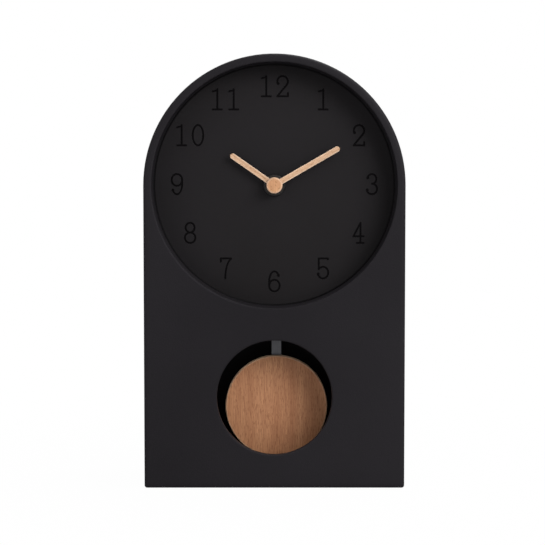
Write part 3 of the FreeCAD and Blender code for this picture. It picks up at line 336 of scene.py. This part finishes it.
def woundCopper(name, look, axis):
    material, tree, shader = newMaterial(name, look["rough"], metal=1.0)
    turns = evenWaves(tree, axis, look["pitch"])
    paint(tree, shader, blendColours(tree, turns, look["gap"], look["crest"]))
    raiseBump(tree, shader, turns, look["turnDepth"])
    return material


# Green solder resist over glass cloth

laminate = {"resist": "2c5a38", "thread": "3a6c45", "threadSize": 0.5, "threadDepth": 0.01,
            "rough": 0.35}


def resistLaminate(name, look):
    material, tree, shader = newMaterial(name, look["rough"])
    cloth = compute(tree, "MULTIPLY", *[evenWaves(tree, axis, look["threadSize"]) for axis in "XZ"])
    paint(tree, shader, blendColours(tree, cloth, look["resist"], look["thread"]))
    raiseBump(tree, shader, cloth, look["threadDepth"])
    return material


# Shrunk plastic film over the cell: satin grey, darker near the nub, with faint lengthwise drag
# lines

film = {"colour": "8c9096", "band": "5d6167", "bandFade": (14.9, 15.0), "rough": 0.28,
        "drag": "ffffff", "dragSize": (30, 0.5, 0.5), "dragDetail": 3, "dragShare": 0.12,
        "dragDepth": 0.01}


def shrunkFilm(name, look):
    material, tree, shader = newMaterial(name, look["rough"])
    lines = grainNoise(tree, look["dragSize"], look["dragDetail"])
    nearNub = ramp(tree, placeAlong(tree, "X"), *[edge * mm for edge in look["bandFade"]])
    base = blendColours(tree, nearNub, look["colour"], look["band"])
    dragged = times(tree, lines, look["dragShare"])
    paint(tree, shader, blendColours(tree, dragged, base, look["drag"]))
    raiseBump(tree, shader, lines, look["dragDepth"])
    return material


def middleOf(name):
    low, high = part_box(name)
    return (low + high) / 2


def roundReach(name):
    low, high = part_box(name)
    return [(high.x - low.x) / 2 / mm] * 2


# All materials, and which node is made of which; nodes that aren't named are the case's boards

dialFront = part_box("dial_plate")[0].y
hubPlace = (dialHole["x"] * mm, dialFront, dialHole["z"] * mm)
handReach = (handHalfWidth, unlimited)
made = {
    "caseLacquer": mattLacquer("mattBlackCaseLacquer", lacquer),
    "dialLacquer": mattLacquer("mattBlackDialLacquer", dialLacquer, cutFrom=dialFront),
    "cornerShadeLacquer": mattLacquer("mattBlackCornerShadeLacquer", cornerShadeLacquer),
    **{name: mouldedPlastic(name, {**moulded, **look}) for name, look in plastics.items()},
    **{name: workedMetal(name, {**worked, **look}) for name, look in metals.items()},
    "hourHandWood": oiledWood("paleHourHandWood", handWood, hubPlace, handReach, handTurns["hour"]),
    "minuteHandWood": oiledWood("paleMinuteHandWood", handWood, hubPlace, handReach,
                                handTurns["minute"]),
    "capWood": oiledWood("paleCapWood", capWood, hubPlace, roundReach("hub_cap")),
    "bobWood": oiledWood("reddishBobVeneer", bobVeneer, middleOf("pendulum_bob"),
                         roundReach("pendulum_bob")),
    "board": sawnFibreboard("sawnFibreboard", rawBoard),
    "coreWinding": woundCopper("copperOnCore", winding, "X"),
    "driveWinding": woundCopper("copperOnBobbin", winding, "Y"),
    "laminate": resistLaminate("greenSolderResist", laminate),
    "film": shrunkFilm("shrunkPvcFilm", film),
}

finishes = {
    "dialLacquer": ["dial_plate"],
    "hourHandWood": ["hour_hand"],
    "minuteHandWood": ["minute_hand"],
    "capWood": ["hub_cap"],
    "bobWood": ["pendulum_bob"],
    "board": ["glue_blocks"],
    "mouldedBlackAbs": ["movement_front_case", "movement_rear_case"],
    "mouldedBlackKnobAbs": ["set_knob"],
    "mouldedGreyAcetal": ["train_plate", "hanger_lever"],
    "mouldedWhiteAcetal": ["hour_wheel", "motion_wheel", "centre_wheel", "third_wheel",
                           "second_wheel", "rotor_shaft"],
    "mouldedRedAcetal": ["intermediate_wheel"],
    "mouldedNylonBobbin": ["coil_bobbin", "drive_bobbin"],
    "mattPadRubber": ["foot_pads"],
    "mattWasherRubber": ["rubber_washer"],
    "sinteredFerrite": ["rotor_magnet"],
    "turnedBrass": ["hour_hand_collet", "minute_hand_collet", "threaded_bush", "minute_arbor",
                    "clutch_washer"],
    "zincPlatedSteel": ["back_panel_screws", "hanger_pin", "bob_back_plate"],
    "stampedCoreSteel": ["stator", "coil_core"],
    "nickelPlatedMagnet": ["hanger_magnet"],
    "nickelPlatedStrip": ["battery_contact_positive", "battery_contact_negative"],
    "drawnCrystalCan": ["quartz_crystal"],
    "blackOxideSteel": ["fixing_nut"],
    "satinGreyAluminium": ["pendulum_rod"],
    "coreWinding": ["coil_winding"],
    "driveWinding": ["drive_coil"],
    "laminate": ["circuit_board", "drive_board"],
    "film": ["battery_cell"],
}
finishOf = {name: made[finish] for finish, names in finishes.items() for name in names}
for name, node in nodes.items():
    for slot in node.material_slots:
        slot.material = finishOf.get(name, made["caseLacquer"])
print("materials set on", len(nodes), "nodes")

# Small helpers for pieces shaped in edit mode

meshing = {"weld": 0.001, "bevelAbove": 40, "smoothBelow": 35, "facing": 0.9}  # 1 faces straight


def startPiece(name, addPrimitive):
    bpy.ops.object.select_all(action="DESELECT")
    addPrimitive()
    piece = bpy.context.object
    piece.name = name
    piece.data.name = name
    bpy.ops.object.transform_apply(location=True, rotation=True, scale=True)
    bpy.ops.object.mode_set(mode="EDIT")
    return piece


def pickParts(piece, kind, test):
    bpy.ops.mesh.select_mode(type=kind)
    bpy.ops.mesh.select_all(action="DESELECT")
    bpy.ops.object.mode_set(mode="OBJECT")
    for part in piece.data.polygons if kind == "FACE" else piece.data.edges:
        part.select = test(part)
    bpy.ops.object.mode_set(mode="EDIT")


def extrudeBy(step):
    bpy.ops.mesh.extrude_region_move(TRANSFORM_OT_translate={"value": step})


def endPiece(piece, body, material, edgeRadius, segments=2):
    bpy.ops.mesh.select_all(action="SELECT")
    bpy.ops.mesh.remove_doubles(threshold=meshing["weld"] * mm)
    bpy.ops.mesh.normals_make_consistent(inside=False)
    bpy.ops.object.mode_set(mode="OBJECT")
    if edgeRadius:
        bevel = piece.modifiers.new("softEdges", "BEVEL")
        bevel.width = edgeRadius * mm
        bevel.segments = segments
        bevel.limit_method = "ANGLE"
        bevel.angle_limit = math.radians(meshing["bevelAbove"])
        bpy.ops.object.modifier_apply(modifier=bevel.name)
    bpy.ops.object.shade_smooth_by_angle(angle=math.radians(meshing["smoothBelow"]))
    piece.data.materials.append(material)
    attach(piece, body)
    print("piece made:", piece.name, len(piece.data.polygons), "faces")


# The line of lacquer that fills the corner between the dial and the round wall before it; its
# darker lacquer is painted shade

bead = {"leg": 0.8, "sink": 0.05, "sides": 192}
beadOut = (dialHole["radius"] + bead["sink"]) * mm
beadIn = (dialHole["radius"] - bead["leg"]) * mm
beadMiddle = (hubPlace[0], dialFront + bead["sink"] * mm, hubPlace[2])
cornerBead = startPiece("cornerBead", lambda: bpy.ops.mesh.primitive_circle_add(
    vertices=bead["sides"], radius=beadIn, location=beadMiddle, rotation=(math.radians(90), 0, 0)))
bpy.ops.mesh.select_all(action="SELECT")
# forward and out to the wall, back along the wall, in again behind the dial's face
for ratio, step in ((beadOut / beadIn, -bead["leg"]), (1.0, bead["leg"]), (beadIn / beadOut, 0.0)):
    extrudeBy((0, step * mm, 0))
    bpy.ops.transform.resize(value=(ratio, 1, ratio), center_override=beadMiddle)
endPiece(cornerBead, "case", made["cornerShadeLacquer"], 0)

# The cell's sleeve: a film that folds over both ends

cell = {"nubLength": 1.3, "sides": 96}
cellLow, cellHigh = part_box("battery_cell")
cellMiddle = (cellLow + cellHigh) / 2
cellRadius = (cellHigh.z - cellLow.z) / 2
shoulderX = cellHigh.x - cell["nubLength"] * mm


def lyingCylinder(radius, fromX, toX):
    bpy.ops.mesh.primitive_cylinder_add(
        vertices=cell["sides"], radius=radius, depth=toX - fromX, rotation=(0, math.radians(90), 0),
        location=((fromX + toX) / 2, cellMiddle.y, cellMiddle.z))


def insetTo(radiusNow, radiusNext):
    bpy.ops.mesh.inset(thickness=radiusNow - radiusNext, depth=0)


folded = {"wall": 0.15, "fold": 1.0, "edge": 0.06, "edgeSegments": 3}
sleeve = startPiece("cellSleeve", lambda: lyingCylinder(cellRadius, cellLow.x, shoulderX))
pickParts(sleeve, "FACE", lambda face: abs(face.normal.x) > meshing["facing"])
insetTo(cellRadius, cellRadius - folded["fold"] * mm)
bpy.ops.mesh.delete(type="FACE")
bpy.ops.mesh.select_all(action="SELECT")
bpy.ops.object.mode_set(mode="OBJECT")
wall = sleeve.modifiers.new("filmWall", "SOLIDIFY")
wall.thickness = folded["wall"] * mm
wall.offset = -1
bpy.ops.object.modifier_apply(modifier=wall.name)
bpy.ops.object.mode_set(mode="EDIT")
endPiece(sleeve, "battery", made["film"], folded["edge"], folded["edgeSegments"])
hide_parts("battery_cell")

# The cell's can: a seal and the nub on the positive end, a low plate on the negative end

drawn = {"inset": 0.2, "recess": 0.25, "sealRadius": 4.4, "sealDepth": 0.3, "nubRadius": 2.6,
         "plateRadius": 4.6, "plateInset": 0.02, "edge": 0.25, "edgeSegments": 3}
canRadius = cellRadius - drawn["inset"] * mm
sealRadius = drawn["sealRadius"] * mm
recess = drawn["recess"] * mm
can = startPiece("cellCan", lambda: lyingCylinder(
    canRadius, cellLow.x + recess, shoulderX - recess))
pickParts(can, "FACE", lambda face: face.normal.x > meshing["facing"])
insetTo(canRadius, sealRadius)
extrudeBy((drawn["sealDepth"] * mm, 0, 0))
insetTo(sealRadius, drawn["nubRadius"] * mm)
extrudeBy((cellHigh.x - shoulderX + recess - drawn["sealDepth"] * mm, 0, 0))
pickParts(can, "FACE", lambda face: face.normal.x < -meshing["facing"])
insetTo(canRadius, drawn["plateRadius"] * mm)
extrudeBy((drawn["plateInset"] * mm - recess, 0, 0))
endPiece(can, "battery", made["nickelPlatedStrip"], drawn["edge"],
         drawn["edgeSegments"])

# What a movement's rear half has moulded on it; each moulding starts a little below the rear face

rear = {"y": 9.0, "sink": 0.1}
sunkY = (rear["y"] - rear["sink"]) * mm
facingBack = (math.radians(-90), 0, 0)


def standingPlane(middleX, middleZ, width, height):
    bpy.ops.mesh.primitive_plane_add(
        size=1, location=(middleX, sunkY, middleZ), rotation=facingBack)
    bpy.context.object.scale = (width, height, 1)


def endMoulding(piece, shape):
    bpy.ops.mesh.select_all(action="SELECT")
    extrudeBy((0, (shape["height"] + rear["sink"]) * mm, 0))
    endPiece(piece, "case", made["mouldedBlackAbs"], shape["edge"])


def endRing(piece, shape):
    # only a rim of the flat face stays
    bpy.ops.mesh.select_all(action="SELECT")
    bpy.ops.mesh.inset(thickness=shape["width"] * mm, depth=0)
    bpy.ops.mesh.delete(type="FACE")
    endMoulding(piece, shape)


# A frame round the cell's bay

bay = {"halfLength": 26.6, "bottom": 112.4, "top": 127.6, "gap": 0.15, "width": 0.9, "height": 0.7,
       "corner": 1.2, "cornerSegments": 6, "edge": 0.2}
margin = bay["gap"] + bay["width"]
bayFrame = startPiece("bayFrame", lambda: standingPlane(
    0, (bay["bottom"] + bay["top"]) / 2 * mm, 2 * (bay["halfLength"] + margin) * mm,
    (bay["top"] - bay["bottom"] + 2 * margin) * mm))
bpy.ops.mesh.select_all(action="SELECT")
bpy.ops.mesh.bevel(offset=bay["corner"] * mm, segments=bay["cornerSegments"], affect="VERTICES")
endRing(bayFrame, bay)

# A guard ring round the knob

guard = {"radius": 7.9, "width": 0.8, "height": 1.3, "sides": 96, "edge": 0.2}
knobMiddle = middleOf("set_knob")
knobGuard = startPiece("knobGuard", lambda: bpy.ops.mesh.primitive_circle_add(
    vertices=guard["sides"], radius=guard["radius"] * mm, fill_type="NGON",
    location=(knobMiddle.x, sunkY, knobMiddle.z), rotation=facingBack))
endRing(knobGuard, guard)

# The cell's polarity marks, arms grown from a small square

marks = {"x": 21.0, "z": 105.5, "size": 1.0, "arm": 1.3, "height": 0.35, "edge": 0.12,
         "tolerance": 0.01}
tolerance = marks["tolerance"] * mm
sideways = [(1, 0), (-1, 0)]
upright = [(0, 1), (0, -1)]


def edgeMiddle(piece, edge):
    start, end = [piece.data.vertices[corner].co for corner in edge.vertices]
    return (start + end) / 2


for name, side, directions in (("plusMark", 1, sideways + upright), ("minusMark", -1, sideways)):
    middle = Vector((side * marks["x"] * mm, sunkY, marks["z"] * mm))
    mark = startPiece(name, lambda: standingPlane(
        middle.x, middle.z, marks["size"] * mm, marks["size"] * mm))
    for alongX, alongZ in directions:
        direction = Vector((alongX, 0, alongZ))
        rim = middle + direction * marks["size"] / 2 * mm
        pickParts(mark, "EDGE", lambda edge: (edgeMiddle(mark, edge) - rim).length < tolerance)
        extrudeBy(direction * marks["arm"] * mm)
    endMoulding(mark, marks)

# Studio: white background and floor, soft lights at the upper right front, above, left and behind;
# lengths in the settings from here on are in metres

scene = bpy.context.scene
scene.view_settings.view_transform = "Standard"
studio = {"white": (1, 1, 1, 1), "fill": 0.07, "lampAim": (0, 0, 0.11)}
paper = {"colour": "b4b4b4", "rough": 0.9, "specular": 0.1, "size": 6.0, "glow": 0.985,
         "shadowNear": 0.1, "shadowFar": 0.3}


def seenRays(tree):
    # 1 for camera, glossy and transmission rays, which see white; 0 for the rays that light things
    path = addNode(tree, "ShaderNodeLightPath").outputs
    either = compute(tree, "MAXIMUM", path["Is Camera Ray"], path["Is Glossy Ray"])
    return compute(tree, "MAXIMUM", either, path["Is Transmission Ray"])


def studioPaper(name, look):
    # takes a faint shadow near the clock and fades to plain white farther off
    material, tree, shader = newMaterial(name, look["rough"], look["specular"])
    shader.inputs["Base Color"].default_value = toLinear(look["colour"])
    faded = ramp(tree, lengthOf(tree, objectPlace(tree)), look["shadowNear"], look["shadowFar"],
                 look["glow"], 1.0, curve="SMOOTHSTEP")
    share = compute(tree, "MULTIPLY", faded, seenRays(tree))
    glow = addNode(tree, "ShaderNodeEmission", inputs={"Color": studio["white"], "Strength": 1.0})
    mixed = addNode(tree, "ShaderNodeMixShader", inputs={
        0: share, 1: shader.outputs[0], 2: glow.outputs[0]})
    tree.links.new(mixed.outputs[0], tree.nodes["Material Output"].inputs["Surface"])
    return material


scene.world = bpy.data.worlds.new("studioWhite")
scene.world.use_nodes = True
sky = scene.world.node_tree
background = sky.nodes["Background"]
background.inputs["Color"].default_value = studio["white"]
sky.links.new(times(sky, seenRays(sky), 1 - studio["fill"], studio["fill"]),
              background.inputs["Strength"])

floor = startPiece("studioFloor", lambda: bpy.ops.mesh.primitive_plane_add(size=paper["size"]))
bpy.ops.object.mode_set(mode="OBJECT")
floor.data.materials.append(studioPaper("whiteStudioPaper", paper))

lamps = {
    "keySoftbox": {"place": (0.46, -0.63, 0.50), "size": (0.62, 0.36), "power": 4.5},
    "rightSoftbox": {"place": (0.75, -1.0, 0.42), "size": (0.6, 0.6), "power": 4.8},
    "leftFill": {"place": (-0.9, -0.9, 0.35), "size": (0.9, 0.9), "power": 2.4},
    "nearFill": {"place": (-0.6, -0.55, 0.42), "size": (0.5, 0.5), "power": 0.8},
    "topSoftbox": {"place": (0.25, 0.06, 1.0), "size": (0.7, 0.35), "power": 15.0},
    "rearFill": {"place": (-0.4, 1.1, 0.6), "size": (0.9, 0.9), "power": 5.0},
}


def putInScene(name, content, place, target):
    # lamps and cameras look along their own -Z
    holder = bpy.data.objects.new(name, content)
    scene.collection.objects.link(holder)
    holder.location = place
    holder.rotation_euler = (Vector(target) - Vector(place)).to_track_quat("-Z", "Y").to_euler()
    return holder


for name, lamp in lamps.items():
    light = bpy.data.lights.new(name, "AREA")
    light.shape = "RECTANGLE"
    light.size, light.size_y = lamp["size"]
    light.energy = lamp["power"]
    putInScene(name, light, lamp["place"], studio["lampAim"])
print("studio lit by", len(lamps), "lamps")

# The camera stands straight in front, a little above the dial's middle, and looks slightly down

shot = {"place": (-0.00087, -0.7775, 0.147), "target": (-0.00087, -0.0275, 0.10023),
        "lens": 108.35, "sensor": 36}  # lens and sensor in mm
camera = bpy.data.cameras.new("cameraFront")
camera.lens = shot["lens"]
camera.sensor_width = shot["sensor"]
scene.camera = putInScene("cameraFront", camera, shot["place"], shot["target"])
print("camera set at", shot["place"])
